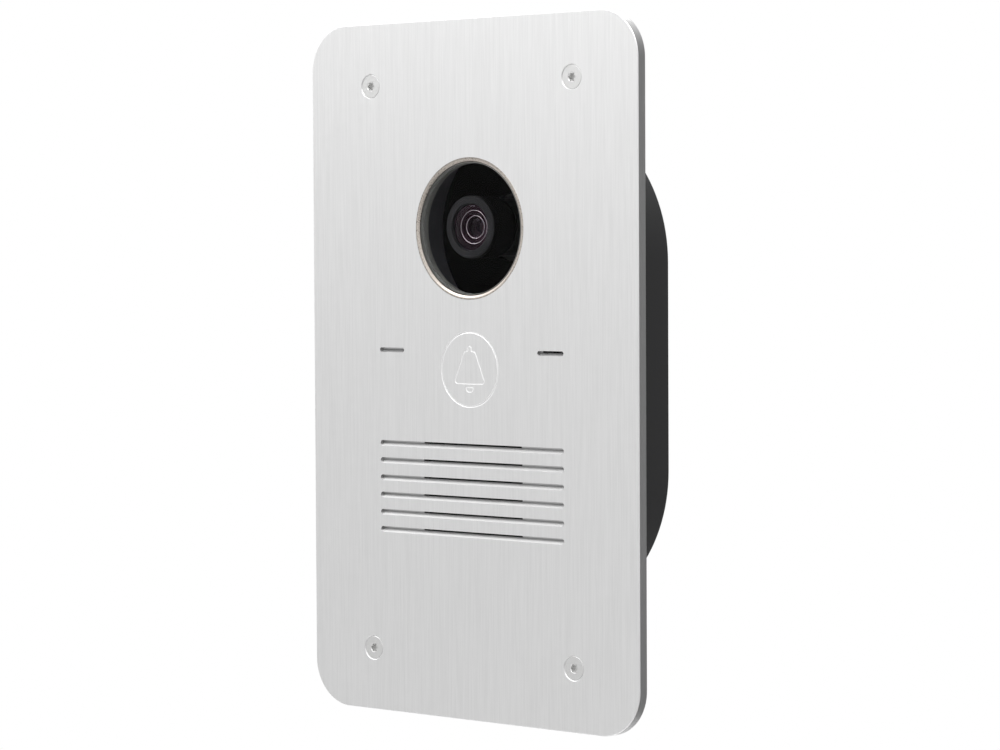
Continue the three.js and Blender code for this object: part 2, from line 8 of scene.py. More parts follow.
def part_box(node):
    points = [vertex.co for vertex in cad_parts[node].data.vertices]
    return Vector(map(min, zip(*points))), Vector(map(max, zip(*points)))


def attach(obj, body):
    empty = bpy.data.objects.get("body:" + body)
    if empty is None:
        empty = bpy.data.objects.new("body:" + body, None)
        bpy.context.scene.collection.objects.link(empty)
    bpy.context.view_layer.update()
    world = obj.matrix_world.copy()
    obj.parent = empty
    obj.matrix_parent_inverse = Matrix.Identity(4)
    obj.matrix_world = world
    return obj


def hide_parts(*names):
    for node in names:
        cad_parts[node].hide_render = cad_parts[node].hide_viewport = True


# A flush video doorbell. The shapes below are in millimetres until new_piece() scales them.
# X runs across the front, Z runs up, and Y runs from the visitor into the wall.

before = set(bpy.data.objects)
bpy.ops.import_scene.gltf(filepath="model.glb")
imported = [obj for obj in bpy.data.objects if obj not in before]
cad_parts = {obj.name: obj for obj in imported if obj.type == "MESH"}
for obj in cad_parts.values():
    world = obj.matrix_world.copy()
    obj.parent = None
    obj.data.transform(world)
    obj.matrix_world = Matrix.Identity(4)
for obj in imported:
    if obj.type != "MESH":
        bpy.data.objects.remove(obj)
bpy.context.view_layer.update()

MM = 0.001
PAST = 1.0                      # how far a cutting tool reaches past the face it starts from
ROUND = 128                     # facets round a large circle
CORNER = 24                     # facets round a quarter of the plate's corner


def corners(node):
    """Lowest and highest corner of a CAD node, in millimetres."""
    low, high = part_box(node)
    return low / MM, high / MM


def middle(node):
    """The centre of a CAD node across and up, in millimetres."""
    low, high = corners(node)
    return (low.x + high.x) / 2, (low.z + high.z) / 2


# ---------- Materials ----------


class Surface:
    """A Principled material and the short-hand that its recipes use."""

    def __init__(self, name, color, roughness, metallic=0.0, **sockets):
        self.material = bpy.data.materials.new(name)
        self.material.use_nodes = True
        self.tree = self.material.node_tree
        self.shader = self.tree.nodes["Principled BSDF"]
        self.shader.inputs["Base Color"].default_value = (*color, 1.0)
        self.shader.inputs["Roughness"].default_value = roughness
        self.shader.inputs["Metallic"].default_value = metallic
        for socket, value in sockets.items():
            self.shader.inputs[socket.replace("_", " ")].default_value = value

    def node(self, kind, **settings):
        made = self.tree.nodes.new(kind)
        for key, value in settings.items():
            if hasattr(made, key):
                setattr(made, key, value)
            else:
                made.inputs[key].default_value = value
        return made

    def link(self, source, target):
        self.tree.links.new(source, target)

    def noise(self, scale, stretch=(1, 1, 1), detail=3.0):
        """Noise in metres of the object: scale is in cycles per metre."""
        place = self.node("ShaderNodeTexCoord")
        mapping = self.node("ShaderNodeMapping")
        mapping.inputs["Scale"].default_value = stretch
        self.link(place.outputs["Object"], mapping.inputs["Vector"])
        noise = self.node("ShaderNodeTexNoise", Scale=scale, Detail=detail)
        self.link(mapping.outputs["Vector"], noise.inputs["Vector"])
        return noise.outputs["Fac"]

    def ramp(self, source, low, high):
        """source, spread from its middle range to the values low and high."""
        span = self.node("ShaderNodeMapRange")
        span.inputs["From Min"].default_value = 0.3
        span.inputs["From Max"].default_value = 0.7
        span.inputs["To Min"].default_value = low
        span.inputs["To Max"].default_value = high
        self.link(source, span.inputs["Value"])
        return span.outputs["Result"]

    def vary_color(self, source, dark, light):
        mix = self.node("ShaderNodeMix", data_type="RGBA")
        mix.inputs[6].default_value = (*dark, 1)
        mix.inputs[7].default_value = (*light, 1)
        self.link(source, mix.inputs[0])
        self.link(mix.outputs[2], self.shader.inputs["Base Color"])

    def vary_roughness(self, source, low, high):
        self.link(self.ramp(source, low, high), self.shader.inputs["Roughness"])

    def bump(self, source, height, strength=1.0):
        bump = self.node("ShaderNodeBump", Strength=strength, Distance=height)
        self.link(source, bump.inputs["Height"])
        self.link(bump.outputs["Normal"], self.shader.inputs["Normal"])


def grey(value):
    return (value, value, value)


def brushed_aluminium():
    """Clear anodised sheet, brushed up and down: long faint streaks and short fine scratches."""
    surface = Surface("brushed_aluminium", grey(0.80), 0.42, 1.0)
    streaks = surface.noise(2200, (1, 1, 0.03), 3)
    scratches = surface.noise(7000, (1, 1, 0.06), 2)
    surface.vary_color(surface.ramp(streaks, 0.0, 1.0), (0.775, 0.775, 0.775),
                       (0.825, 0.825, 0.825))
    surface.vary_roughness(scratches, 0.39, 0.45)
    surface.bump(scratches, 0.000006, 0.5)
    return surface.material


def cut_aluminium(name, color, roughness):
    """Where a tool has cut the sheet: smoother than the brushed face, with tool marks."""
    surface = Surface(name, color, roughness, 1.0)
    marks = surface.noise(5000, (0.1, 1, 1), 3)
    surface.vary_color(surface.ramp(marks, 0.0, 1.0), [0.96 * c for c in color], color)
    surface.vary_roughness(marks, roughness - 0.03, roughness + 0.03)
    return surface.material


def fine_grained(name, dark, light, roughness, metallic=0.0, scale=3500, height=0.00004, **sockets):
    """Moulded, cast or coated: a fine grain in colour, roughness and bump."""
    surface = Surface(name, light, roughness, metallic, **sockets)
    grain = surface.noise(scale, detail=4)
    surface.vary_color(surface.ramp(grain, 0.0, 1.0), dark, light)
    surface.vary_roughness(grain, roughness - 0.06, roughness + 0.06)
    surface.bump(grain, height, 0.4)
    return surface.material


def glass(name, color, ior, reflection):
    """Clear glass whose coating leaves only a little of the reflection."""
    surface = Surface(name, color, 0.0, 0.0, Transmission_Weight=1.0, IOR=ior,
                      Specular_Tint=(*reflection, 1.0))
    surface.vary_roughness(surface.noise(60, detail=5), 0.0, 0.015)
    return surface.material


MATERIALS = {
    "brushed": brushed_aluminium(),
    # The cut faces are a darker grey than the brushed face: partly a cut finish, partly painted shade
    # for the shade in the grooves, pockets and window hole.
    "groove": cut_aluminium("cut_aluminium", grey(0.58), 0.42),
    "sink": cut_aluminium("countersunk_aluminium", grey(0.74), 0.46),
    "bright": cut_aluminium("frosted_aluminium", grey(0.99), 0.45),
    "champagne": fine_grained("champagne_trim", (0.53, 0.48, 0.435), (0.59, 0.535, 0.485), 0.30, 1.0),
    "steel": fine_grained("stainless_steel", (0.73, 0.73, 0.725), (0.78, 0.78, 0.775), 0.40, 1.0),
    "black": fine_grained("moulded_black", (0.022, 0.022, 0.023), (0.032, 0.032, 0.033), 0.5),
    "well": fine_grained("well_wall", (0.15, 0.15, 0.17), (0.19, 0.19, 0.215), 0.6),
    # A black floor whose near-zero grey is also painted shade: the well's floor and the lens hole are
    # darkened to stand for the shade deep in the well.
    "floor_black_and_shade": fine_grained("black_floor_painted_shade", (0.0010, 0.0010, 0.0013), (0.0022, 0.0022, 0.0027),
                           0.95, Specular_IOR_Level=0.03),
    "barrel": fine_grained("black_anodised", (0.016, 0.016, 0.018), (0.024, 0.024, 0.027), 0.5,
                           Specular_IOR_Level=0.2),
    # Near-black painted shade: the lens tube's threaded side and the trim's bore take it in place of
    # the shadow that falls on them.
    "thread": fine_grained("near_black_painted_shade", (0.0015, 0.0015, 0.0018), (0.003, 0.003, 0.0035),
                           0.7, Specular_IOR_Level=0.04),
    "lip": fine_grained("polished_lip", (0.52, 0.51, 0.52), (0.60, 0.59, 0.60), 0.12, 1.0),
    # The baffles' violet tint is painted reflection: it stands for the purple glow of the lens
    # coatings on a black baffle.
    "baffle": fine_grained("black_with_painted_violet_reflection", (0.020, 0.008, 0.014), (0.030, 0.012, 0.021), 0.7,
                           Specular_IOR_Level=0.05),
    "rubber": fine_grained("black_rubber", (0.02, 0.02, 0.02), (0.035, 0.035, 0.035), 0.8),
    "seal": fine_grained("grey_seal", (0.24, 0.24, 0.23), (0.30, 0.30, 0.29), 0.6),
    "foam": fine_grained("foam", (0.03, 0.03, 0.03), (0.06, 0.06, 0.06), 0.95, scale=1500,
                         height=0.0002),
    "pane": glass("clear_pane", (1.0, 1.0, 1.0), 1.33, (0.04, 0.04, 0.05)),
    "lens": glass("coated_lens", (0.95, 0.91, 0.95), 1.33, (0.04, 0.01, 0.05)),
    "ruby": fine_grained("ruby_coating", (0.14, 0.004, 0.014), (0.20, 0.006, 0.020), 0.30, 1.0,
                         height=0.000002),
    "brass": fine_grained("brass_clamp", (0.60, 0.47, 0.24), (0.72, 0.57, 0.32), 0.3, 1.0),
    "gold": fine_grained("gold_contact", (0.75, 0.52, 0.2), (0.85, 0.62, 0.28), 0.25, 1.0),
    "circuit": fine_grained("circuit_board", (0.015, 0.11, 0.045), (0.02, 0.15, 0.06), 0.35,
                            scale=800),
    "chip": fine_grained("chip_epoxy", (0.012, 0.012, 0.013), (0.025, 0.025, 0.026), 0.45),
    "sleeve": fine_grained("capacitor_sleeve", (0.01, 0.013, 0.03), (0.015, 0.02, 0.045), 0.25),
    "green": fine_grained("terminal_green", (0.02, 0.22, 0.075), (0.03, 0.28, 0.1), 0.42),
    "grey": fine_grained("switch_grey", (0.27, 0.28, 0.29), (0.36, 0.37, 0.38), 0.5),
    "flex": fine_grained("flex_film", (0.36, 0.17, 0.04), (0.48, 0.24, 0.06), 0.3),
    "cone": fine_grained("speaker_film", (0.02, 0.02, 0.022), (0.035, 0.035, 0.04), 0.55),
    "cloth": fine_grained("acoustic_cloth", (0.005, 0.005, 0.005), (0.02, 0.02, 0.02), 0.95),
}


# ---------- Mesh helpers ----------


def arc(x, z, radius, start, end, steps):
    """Points round (x, z) from start to end, in degrees."""
    points = []
    for i in range(steps + 1):
        angle = math.radians(start + (end - start) * i / steps)
        points.append((x + radius * math.cos(angle), z + radius * math.sin(angle)))
    return points


def rounded_rectangle(width, height, radius, steps=CORNER, x=0.0, z=0.0):
    dx = width / 2 - radius
    dz = height / 2 - radius
    points = arc(x + dx, z + dz, radius, 0, 90, steps)
    points += arc(x - dx, z + dz, radius, 90, 180, steps)
    points += arc(x - dx, z - dz, radius, 180, 270, steps)
    points += arc(x + dx, z - dz, radius, 270, 360, steps)
    return points


def upright_stadium(radius, straight, z=0.0, steps=64):
    return arc(0, z + straight, radius, 0, 180, steps) + arc(0, z - straight, radius, 180, 360, steps)


def flat_stadium(radius, reach, x=0.0, z=0.0, steps=12):
    return arc(x + reach, z, radius, -90, 90, steps) + arc(x - reach, z, radius, 90, 270, steps)


def outward(bm):
    """Turns every face of a closed solid outwards."""
    bmesh.ops.recalc_face_normals(bm, faces=bm.faces)
    if bm.calc_volume(signed=True) < 0:
        bmesh.ops.reverse_faces(bm, faces=bm.faces)
    return bm


def loft(sections):
    """A closed solid through (y, outline) sections that have the same number of points."""
    bm = bmesh.new()
    rings = [[bm.verts.new((x, y, z)) for x, z in outline] for y, outline in sections]
    count = len(rings[0])
    for low, high in zip(rings, rings[1:]):
        for i in range(count):
            j = (i + 1) % count
            bm.faces.new((low[i], low[j], high[j], high[i]))
    bm.faces.new(rings[0])
    bm.faces.new(rings[-1])
    bmesh.ops.remove_doubles(bm, verts=bm.verts, dist=1e-4)
    return outward(bm)


def prism(outline, y0, y1):
    return loft([(y0, outline), (y1, outline)])


def block(width, height, y0, y1, x=0.0, z=0.0, radius=0.2):
    return prism(rounded_rectangle(width, height, radius, 4, x, z), y0, y1)


def lathe(profile, x=0.0, z=0.0, segments=ROUND):
    """A solid turned about Y. A profile that doesn't start and end on the axis is closed."""
    bm = bmesh.new()
    rings = []
    for radius, y in profile:
        if radius < 1e-6:
            rings.append([bm.verts.new((x, y, z))])
            continue
        turn = [2 * math.pi * i / segments for i in range(segments)]
        rings.append([bm.verts.new((x + radius * math.cos(a), y, z + radius * math.sin(a)))
                      for a in turn])
    pairs = list(zip(rings, rings[1:]))
    if profile[0][0] > 1e-6 or profile[-1][0] > 1e-6:
        pairs.append((rings[-1], rings[0]))
    for low, high in pairs:
        for i in range(segments):
            j = (i + 1) % segments
            if len(low) == 1 and len(high) == 1:
                break
            if len(low) == 1:
                bm.faces.new((low[0], high[j], high[i]))
            elif len(high) == 1:
                bm.faces.new((low[i], low[j], high[0]))
            else:
                bm.faces.new((low[i], low[j], high[j], high[i]))
    return outward(bm)


def disc(radius, y0, y1, x=0.0, z=0.0, segments=48):
    return lathe([(0, y0), (radius, y0), (radius, y1), (0, y1)], x, z, segments)


def to_object(bm, name, surface):
    mesh = bpy.data.meshes.new(name)
    bm.to_mesh(mesh)
    bm.free()
    mesh.materials.append(MATERIALS[surface])
    made = bpy.data.objects.new(name, mesh)
    bpy.context.scene.collection.objects.link(made)
    return made


def combine(base, tools, operation="DIFFERENCE", narrow=False):
    """base with every tool cut away from it, joined to it or kept in common with it. The tools
    are (bm, material). narrow is for thin winding tools, which the solver handles more slowly."""
    for i, (bm, surface) in enumerate(tools):
        tool = to_object(bm, f"tool_{i}", surface)
        change = base.modifiers.new("change", "BOOLEAN")
        change.operation = operation
        change.solver = "EXACT"
        change.use_self = narrow
        change.material_mode = "TRANSFER"
        change.object = tool
        graph = bpy.context.evaluated_depsgraph_get()
        changed = bpy.data.meshes.new_from_object(base.evaluated_get(graph))
        base.modifiers.clear()
        base.data = changed
        bpy.data.objects.remove(tool)
    return base


def from_axis(x, z):
    """A function that measures how far a point is from the line along Y through (x, z)."""
    def distance(point):
        return math.hypot(point.x - x, point.z - z)
    return distance


def paint(piece, surface, chosen):
    """Gives another material to the faces whose centre passes the test."""
    piece.data.materials.append(MATERIALS[surface])
    for face in piece.data.polygons:
        if chosen(face.center):
            face.material_index = len(piece.data.materials) - 1


def finish_piece(piece, body, replaced, angle=30):
    """Scales a piece to metres, shades it, hangs it on the body it rides on, and hides the CAD nodes
    it stands for.
    """
    piece.data.transform(Matrix.Scale(MM, 4))
    piece.data.polygons.foreach_set("use_smooth", [True] * len(piece.data.polygons))
    piece.data.set_sharp_from_angle(angle=math.radians(angle))
    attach(piece, body)
    if replaced:
        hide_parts(*replaced)
    return piece


def new_piece(name, bm, surface, replaced=(), body="root", cuts=(), joins=(), angle=30):
    piece = to_object(bm, name, surface)
    if joins:
        combine(piece, joins, "UNION")
    if cuts:
        combine(piece, cuts)
    return finish_piece(piece, body, replaced, angle)


# ---------- Sizes that several pieces share ----------

plate_low, plate_high = corners("front_plate")
PLATE_WIDTH = plate_high.x - plate_low.x
PLATE_HEIGHT = plate_high.z - plate_low.z
FRONT = plate_low.y
PLATE_CORNER = 12.0
SINK = 3.28                     # radius of the screws' countersinks at the plate's face
CLEARANCE = 1.7                 # radius of the holes behind them
HOUSING_RADIUS = 39.95
EDGE = 0.18                     # the plate's broken front edge

WINDOW_X, WINDOW_Z = middle("window_trim")
WINDOW_HOLE = 18.2
RING_INNER = 17.15
PANE_FRONT, PANE_BACK = corners("window_pane")[0].y, corners("window_pane")[1].y

BUTTON_X, BUTTON_Z = middle("call_button")
BUTTON_LINE = 9.56              # the parting line between the button and the plate
BUTTON_GAP = 0.03
LINE_WIDTH = 0.27               # the frosted step on each side of the parting line
LINE_DEPTH = 0.1
LINE_DRAFT = 0.03               # how far the step's floor and side lean
BELL_LINE = 0.17                # half the width of the engraved bell's line
LINE_TAPER = 0.02

SLOT_SKIN = 0.92
SLOT_DEPTH = 1.0
GRILLE_ROWS = 6
GRILLE_TOP = -19.55
GRILLE_PITCH = 4.53
GRILLE_REACH = 31.1
GRILLE_HEIGHT = 1.5
SPEAKER_X, SPEAKER_Z = middle("speaker_frame")
POCKET_HALF = 16.7
MIC_X, MIC_Z = middle("microphone_boot")
MIC_POCKET = 3.25
MIC_SLOT_X = 26.85
MIC_REACH = 4.25
MIC_HEIGHT = 1.2


# ---------- Front plate ----------


def groove(height, reach, x, z):
    """A groove whose floor slopes up to the plate's face at its lower edge, like a louvre."""
    radius = height / 2
    floor = 0.2
    mouth = flat_stadium(radius, reach - radius, x, z)
    bottom = flat_stadium(floor, reach - floor, x, z + radius - floor)
    return loft([(FRONT - PAST, mouth), (FRONT, mouth), (FRONT + SLOT_DEPTH, bottom)])


def front_plate():
    def outline(inset):
        return rounded_rectangle(PLATE_WIDTH - 2 * inset, PLATE_HEIGHT - 2 * inset,
                                 PLATE_CORNER - inset)

    blank = loft([(FRONT, outline(EDGE)), (FRONT + EDGE, outline(0)),
                  (plate_high.y - EDGE, outline(0)), (plate_high.y, outline(EDGE))])
    cuts = []
    for i in range(4):
        x, z = middle(f"plate_screw_{i + 1}")
        sink, clearance = SINK, CLEARANCE
        cuts.append((lathe([(0, FRONT - PAST), (sink + 1, FRONT - PAST),
                            (clearance, FRONT + sink - clearance), (clearance, PAST), (0, PAST)],
                           x, z, 64), "sink"))
    # The window hole, grooves and pockets take the darker groove grey, which is partly painted shade
    # in these recesses.
    cuts.append((disc(WINDOW_HOLE, FRONT - PAST, PAST, WINDOW_X, WINDOW_Z, ROUND), "groove"))
    hole = BUTTON_LINE + BUTTON_GAP
    cuts.append((lathe([(0, FRONT - PAST), (hole + LINE_WIDTH, FRONT - PAST),
                        (hole + LINE_WIDTH - LINE_DRAFT, FRONT + LINE_DEPTH),
                        (hole, FRONT + LINE_DEPTH + LINE_DRAFT), (hole, PAST), (0, PAST)],
                       BUTTON_X, BUTTON_Z), "bright"))
    for row in range(GRILLE_ROWS):
        z = GRILLE_TOP - row * GRILLE_PITCH
        cuts.append((groove(GRILLE_HEIGHT, GRILLE_REACH, 0, z), "groove"))
    for side in (-1, 1):
        cuts.append((groove(MIC_HEIGHT, MIC_REACH, side * MIC_SLOT_X, MIC_Z), "groove"))
    pocket_height = (GRILLE_ROWS - 1) * GRILLE_PITCH + 2 * GRILLE_HEIGHT
    cuts.append((block(2 * POCKET_HALF, pocket_height, FRONT + SLOT_SKIN, PAST, 0, SPEAKER_Z, 1.5),
                 "groove"))
    cuts.append((disc(MIC_POCKET, FRONT + SLOT_SKIN, PAST, MIC_X, MIC_Z), "groove"))
    new_piece("plate", blank, "brushed", ["front_plate"], cuts=cuts)


def threaded(radius, start, end, pitch=0.5, depth=0.25):
    """The profile of a screw thread along a shank."""
    turns = round((end - start) / pitch)
    profile = []
    for k in range(turns):
        here = start + (end - start) * k / turns
        profile += [(radius - depth, here), (radius, here + pitch / 2)]
    return profile


SOCKET = 1.0                    # mean radius of the six-lobed socket
SOCKET_LOBE = 0.16
SOCKET_DEPTH = 1.3
STAR_POINTS = 48


def plate_screws():
    for i in range(4):
        node = f"plate_screw_{i + 1}"
        x, z = middle(node)
        low, high = corners(node)
        top = low.y
        head = (high.x - low.x) / 2 + 0.04
        shank = 1.45
        neck = top + head - shank
        body = lathe([(0, top), (head - 0.1, top), (head, top + 0.08), (shank, neck)]
                     + threaded(shank, neck + 0.6, high.y - 0.6)
                     + [(shank - 0.4, high.y - 0.5), (shank - 0.7, high.y), (0, high.y)], x, z, 48)
        star = []
        for k in range(STAR_POINTS):
            angle = 2 * math.pi * k / STAR_POINTS
            radius = SOCKET + SOCKET_LOBE * math.cos(6 * angle)
            star.append((x + radius * math.cos(angle), z + radius * math.sin(angle)))
        entry = lathe([(0, top - 0.5), (1.75, top - 0.5), (1.15, top + 0.1), (0, top + 0.1)],
                      x, z, 64)
        new_piece(f"screw_{i + 1}", body, "steel", [node],
                  cuts=[(entry, "steel"), (prism(star, top, top + SOCKET_DEPTH), "steel")])


# ---------- Call button ----------


def rounded_path(points, step=10):
    """A closed path with each (x, z, radius) corner rounded."""
    path = []
    for i, (x, z, radius) in enumerate(points):
        corner = Vector((x, z))
        before = (Vector(points[i - 1][:2]) - corner).normalized()
        after = (Vector(points[(i + 1) % len(points)][:2]) - corner).normalized()
        half = before.angle(after) / 2
        centre = corner + (before + after).normalized() * (radius / math.sin(half))
        reach = radius / math.tan(half)
        start = corner + before * reach - centre
        end = corner + after * reach - centre
        first = math.atan2(start.y, start.x)
        turn = math.remainder(math.atan2(end.y, end.x) - first, 2 * math.pi)
        for k in range(step + 1):
            angle = first + turn * k / step
            path.append((centre.x + radius * math.cos(angle), centre.y + radius * math.sin(angle)))
    return path


def channel(path, depth):
    """A flat-bottomed groove along a closed path, from depth below the face to above it."""
    bm = bmesh.new()
    count = len(path)
    top, bottom = BELL_LINE + LINE_TAPER, BELL_LINE - LINE_TAPER
    corners_across = [(top, FRONT - 0.06), (-top, FRONT - 0.06),
                      (-bottom, FRONT + depth), (bottom, FRONT + depth)]
    rows = []
    for i, point in enumerate(path):
        along = (Vector(path[(i + 1) % count]) - Vector(path[i - 1])).normalized()
        across = Vector((along.y, -along.x))
        row = []
        for offset, y in corners_across:
            here = Vector(point) + across * offset
            row.append(bm.verts.new((here.x, y, here.y)))
        rows.append(row)
    for i in range(count):
        here, after = rows[i], rows[(i + 1) % count]
        for k in range(4):
            m = (k + 1) % 4
            bm.faces.new((here[k], here[m], after[m], after[k]))
    return outward(bm)


def bell_paths():
    right = [(0.62, 5.95, 0.55), (0.5, 4.75, 0.3), (1.85, 4.45, 0.55), (5.25, -3.65, 0.75)]
    left = [(-x, z, radius) for x, z, radius in reversed(right)]
    bell = rounded_path(right + left)
    clapper = rounded_path([(1.3, -4.6, 0.3), (0.95, -5.75, 0.75), (-0.95, -5.75, 0.75),
                            (-1.3, -4.6, 0.3)])
    return [[(BUTTON_X + x, BUTTON_Z + z) for x, z in path] for path in (bell, clapper)]


def call_button():
    low, high = corners("call_button")
    radius = BUTTON_LINE - BUTTON_GAP
    flange = (high.x - low.x) / 2
    flange_front, flange_back = 1.2, 2.0
    stem = 2.0
    back = high.y
    body = lathe([(0, FRONT), (radius - LINE_WIDTH, FRONT),
                  (radius - LINE_WIDTH + LINE_DRAFT, FRONT + LINE_DEPTH),
                  (radius, FRONT + LINE_DEPTH + LINE_DRAFT), (radius, flange_front),
                  (flange - 0.1, flange_front), (flange, flange_front + 0.1),
                  (flange, flange_back - 0.1), (flange - 0.1, flange_back),
                  (stem, flange_back), (stem, back - 0.3), (stem - 0.3, back), (0, back)],
                 BUTTON_X, BUTTON_Z)
    button = to_object(body, "button", "brushed")
    combine(button, [(channel(path, LINE_DEPTH), "bright") for path in bell_paths()], narrow=True)
    away = from_axis(BUTTON_X, BUTTON_Z)

    def on_step(point):
        return FRONT + 0.01 < point.y < FRONT + 0.3 and away(point) > radius - LINE_WIDTH - 0.01

    paint(button, "bright", on_step)
    finish_piece(button, "call_button", ["call_button"])


# ---------- Camera ----------


def window_pieces():
    land = RING_INNER + 0.55
    outer = WINDOW_HOLE - 0.03
    brim, brim_front, brim_back = 20.5, 0.3, 1.1
    profile = [(RING_INNER, PANE_FRONT + 0.15), (RING_INNER + 0.06, PANE_FRONT - 0.02)]
    profile += [(land - 0.12, FRONT + 0.05), (land, FRONT), (outer - 0.05, FRONT),
                (outer, FRONT + 0.05), (outer, brim_front)]
    profile += [(brim - 0.1, brim_front), (brim, brim_front + 0.1), (brim, brim_back - 0.1),
                (brim - 0.1, brim_back), (RING_INNER, brim_back)]
    trim = to_object(lathe(profile, WINDOW_X, WINDOW_Z), "trim", "champagne")
    away = from_axis(WINDOW_X, WINDOW_Z)

    def in_bore(point):
        return point.y > PANE_FRONT + 0.2 and away(point) < outer - 0.3

    # Painted shade: the trim's bore behind the pane is painted near-black.
    paint(trim, "thread", in_bore)
    finish_piece(trim, "root", ["window_trim"])
    edge = corners("window_pane")[1].x - WINDOW_X
    pane = lathe([(0, PANE_FRONT), (edge - 0.1, PANE_FRONT), (edge, PANE_FRONT + 0.1),
                  (edge, PANE_BACK - 0.1), (edge - 0.1, PANE_BACK), (0, PANE_BACK)],
                 WINDOW_X, WINDOW_Z)
    pane = to_object(pane, "pane", "pane")

    def on_rim(point):
        return away(point) > edge - 0.08

    paint(pane, "seal", on_rim)
    finish_piece(pane, "root", ["window_pane"])
    low, high = corners("window_seal")
    seal = lathe([(edge - 0.3, low.y), (edge, low.y), (edge, high.y), (edge - 0.05, high.y),
                  (edge - 0.3, low.y + 0.9)], WINDOW_X, WINDOW_Z)
    new_piece("seal", seal, "seal", ["window_seal"])


def dome(radius, front, edge, back, steps=12):
    """The profile of a lens: domed in front, flat behind."""
    curve = [(radius * k / steps, front + (edge - front) * (k / steps) ** 2)
             for k in range(steps + 1)]
    return curve + [(radius, back), (0, back)]


LENS_MOUTH = 6.06
LENS_THROAT = 2.9
LENS_RINGS = 6                  # stepped baffle rings between the mouth and the throat
LENS_LIPS = (0, 3)              # the baffle rings that carry a polished lip
LIP = 0.1                       # a lip's radius
IRIS = 1.5
IRIS_BACK = 4.0


def tube_side(front, radius):
    """The profile of the lens tube from its mouth, along its threaded side, to its back."""
    shoulder, mount, back = 8.5, 5.95, 18.0
    bore = 3.5
    profile = [(LENS_MOUTH, front + 0.12), (LENS_MOUTH + 0.12, front), (radius - 0.35, front),
               (radius, front + 0.35), (radius, front + 2.0)]
    for k in range(13):
        turn = front + 2.2 + 0.5 * k
        profile += [(radius - 0.3, turn), (radius - 0.05, turn + 0.25)]
    return profile + [(radius - 0.3, shoulder), (mount, shoulder + 0.1), (mount, back),
                      (bore, back), (bore, 5.2), (IRIS, IRIS_BACK)]


def tube_inside():
    """The profile from the iris forward over the stepped baffle rings to the mouth."""
    profile = []
    for k in range(4):
        step = IRIS_BACK - 0.1 - 0.2 * k
        profile += [(IRIS + 0.22 * k, step), (IRIS + 0.22 * (k + 1), step)]
    profile += [(2.5, 3.1), (2.5, 1.75)]
    for k in range(LENS_RINGS):
        here = LENS_THROAT + (LENS_MOUTH - 0.35 - LENS_THROAT) * k / LENS_RINGS
        depth = 1.6 - 1.1 * k / LENS_RINGS
        if k in LENS_LIPS:
            profile += arc(here - LIP, depth, LIP, 180, 360, 8)
        profile += [(here + 0.05, depth), (here + 0.4, depth)]
    return profile + arc(LENS_MOUTH - 0.13, 0.42, 0.13, 180, 360, 6)


def lens_pieces():
    x, z = middle("lens_barrel")
    low, high = corners("lens_barrel")
    front = low.y
    radius = (high.x - low.x) / 2
    tube = lathe(tube_side(front, radius) + tube_inside(), x, z)
    tube = to_object(tube, "lens_tube", "barrel")
    away = from_axis(x, z)

    def inside(point):
        return point.y > 0.3 and away(point) < LENS_MOUTH - 0.2

    def on_side(point):
        return point.y > front + 0.4 and away(point) > radius - 0.4

    def on_lip(point):
        inner = away(point) < LENS_THROAT + 0.02
        outer = 4.08 < away(point) < 4.32
        return 0.25 < point.y < 1.59 and (inner or outer)

    # The inside takes the violet baffle material, whose tint is painted reflection of the lens
    # coatings.
    paint(tube, "baffle", inside)
    # Painted shade: the tube's threaded side is painted near-black for the shadow beside the lens.
    paint(tube, "thread", on_side)
    paint(tube, "lip", on_lip)
    finish_piece(tube, "root", ["lens_barrel"])
    new_piece("front_lens", lathe(dome(5.85, front + 0.05, front + 0.65, 0.1), x, z),
              "lens", ["lens_front_element"])
    new_piece("inner_lens", lathe(dome(2.42, 1.9, 2.3, 2.7), x, z, 64), "lens",
              ["lens_inner_element"], joins=[(lathe(dome(1.46, 4.0, 4.45, 4.8), x, z, 64), "ruby")])


def well():
    low, high = corners("camera_shroud")
    radius = (high.x - low.x) / 2
    wall = 1.2
    flat = WINDOW_Z - low.z
    lens_x, lens_z = middle("lens_barrel")

    def outline(size, drop):
        dip = math.degrees(math.asin(drop / size))
        return arc(0, WINDOW_Z, size, -dip, 180 + dip, 128)

    body = prism(outline(radius, flat), low.y, high.y)
    inside = prism(outline(radius - wall, flat - wall), low.y - PAST, high.y - wall)
    lens_hole = 8.95
    hole = disc(lens_hole, high.y - 3, high.y + PAST, lens_x, lens_z, 96)
    # The lens hole's sides get the near-black floor material: painted shade deep in the well.
    piece = combine(to_object(body, "well", "well"), [(inside, "well"), (hole, "floor_black_and_shade")])

    def on_floor(point):
        return abs(point.y - (high.y - wall)) < 0.01

    # Painted shade: the well's floor is painted near-black.
    paint(piece, "floor_black_and_shade", on_floor)
    finish_piece(piece, "root", ["camera_shroud"])


# ---------- Rear housing ----------


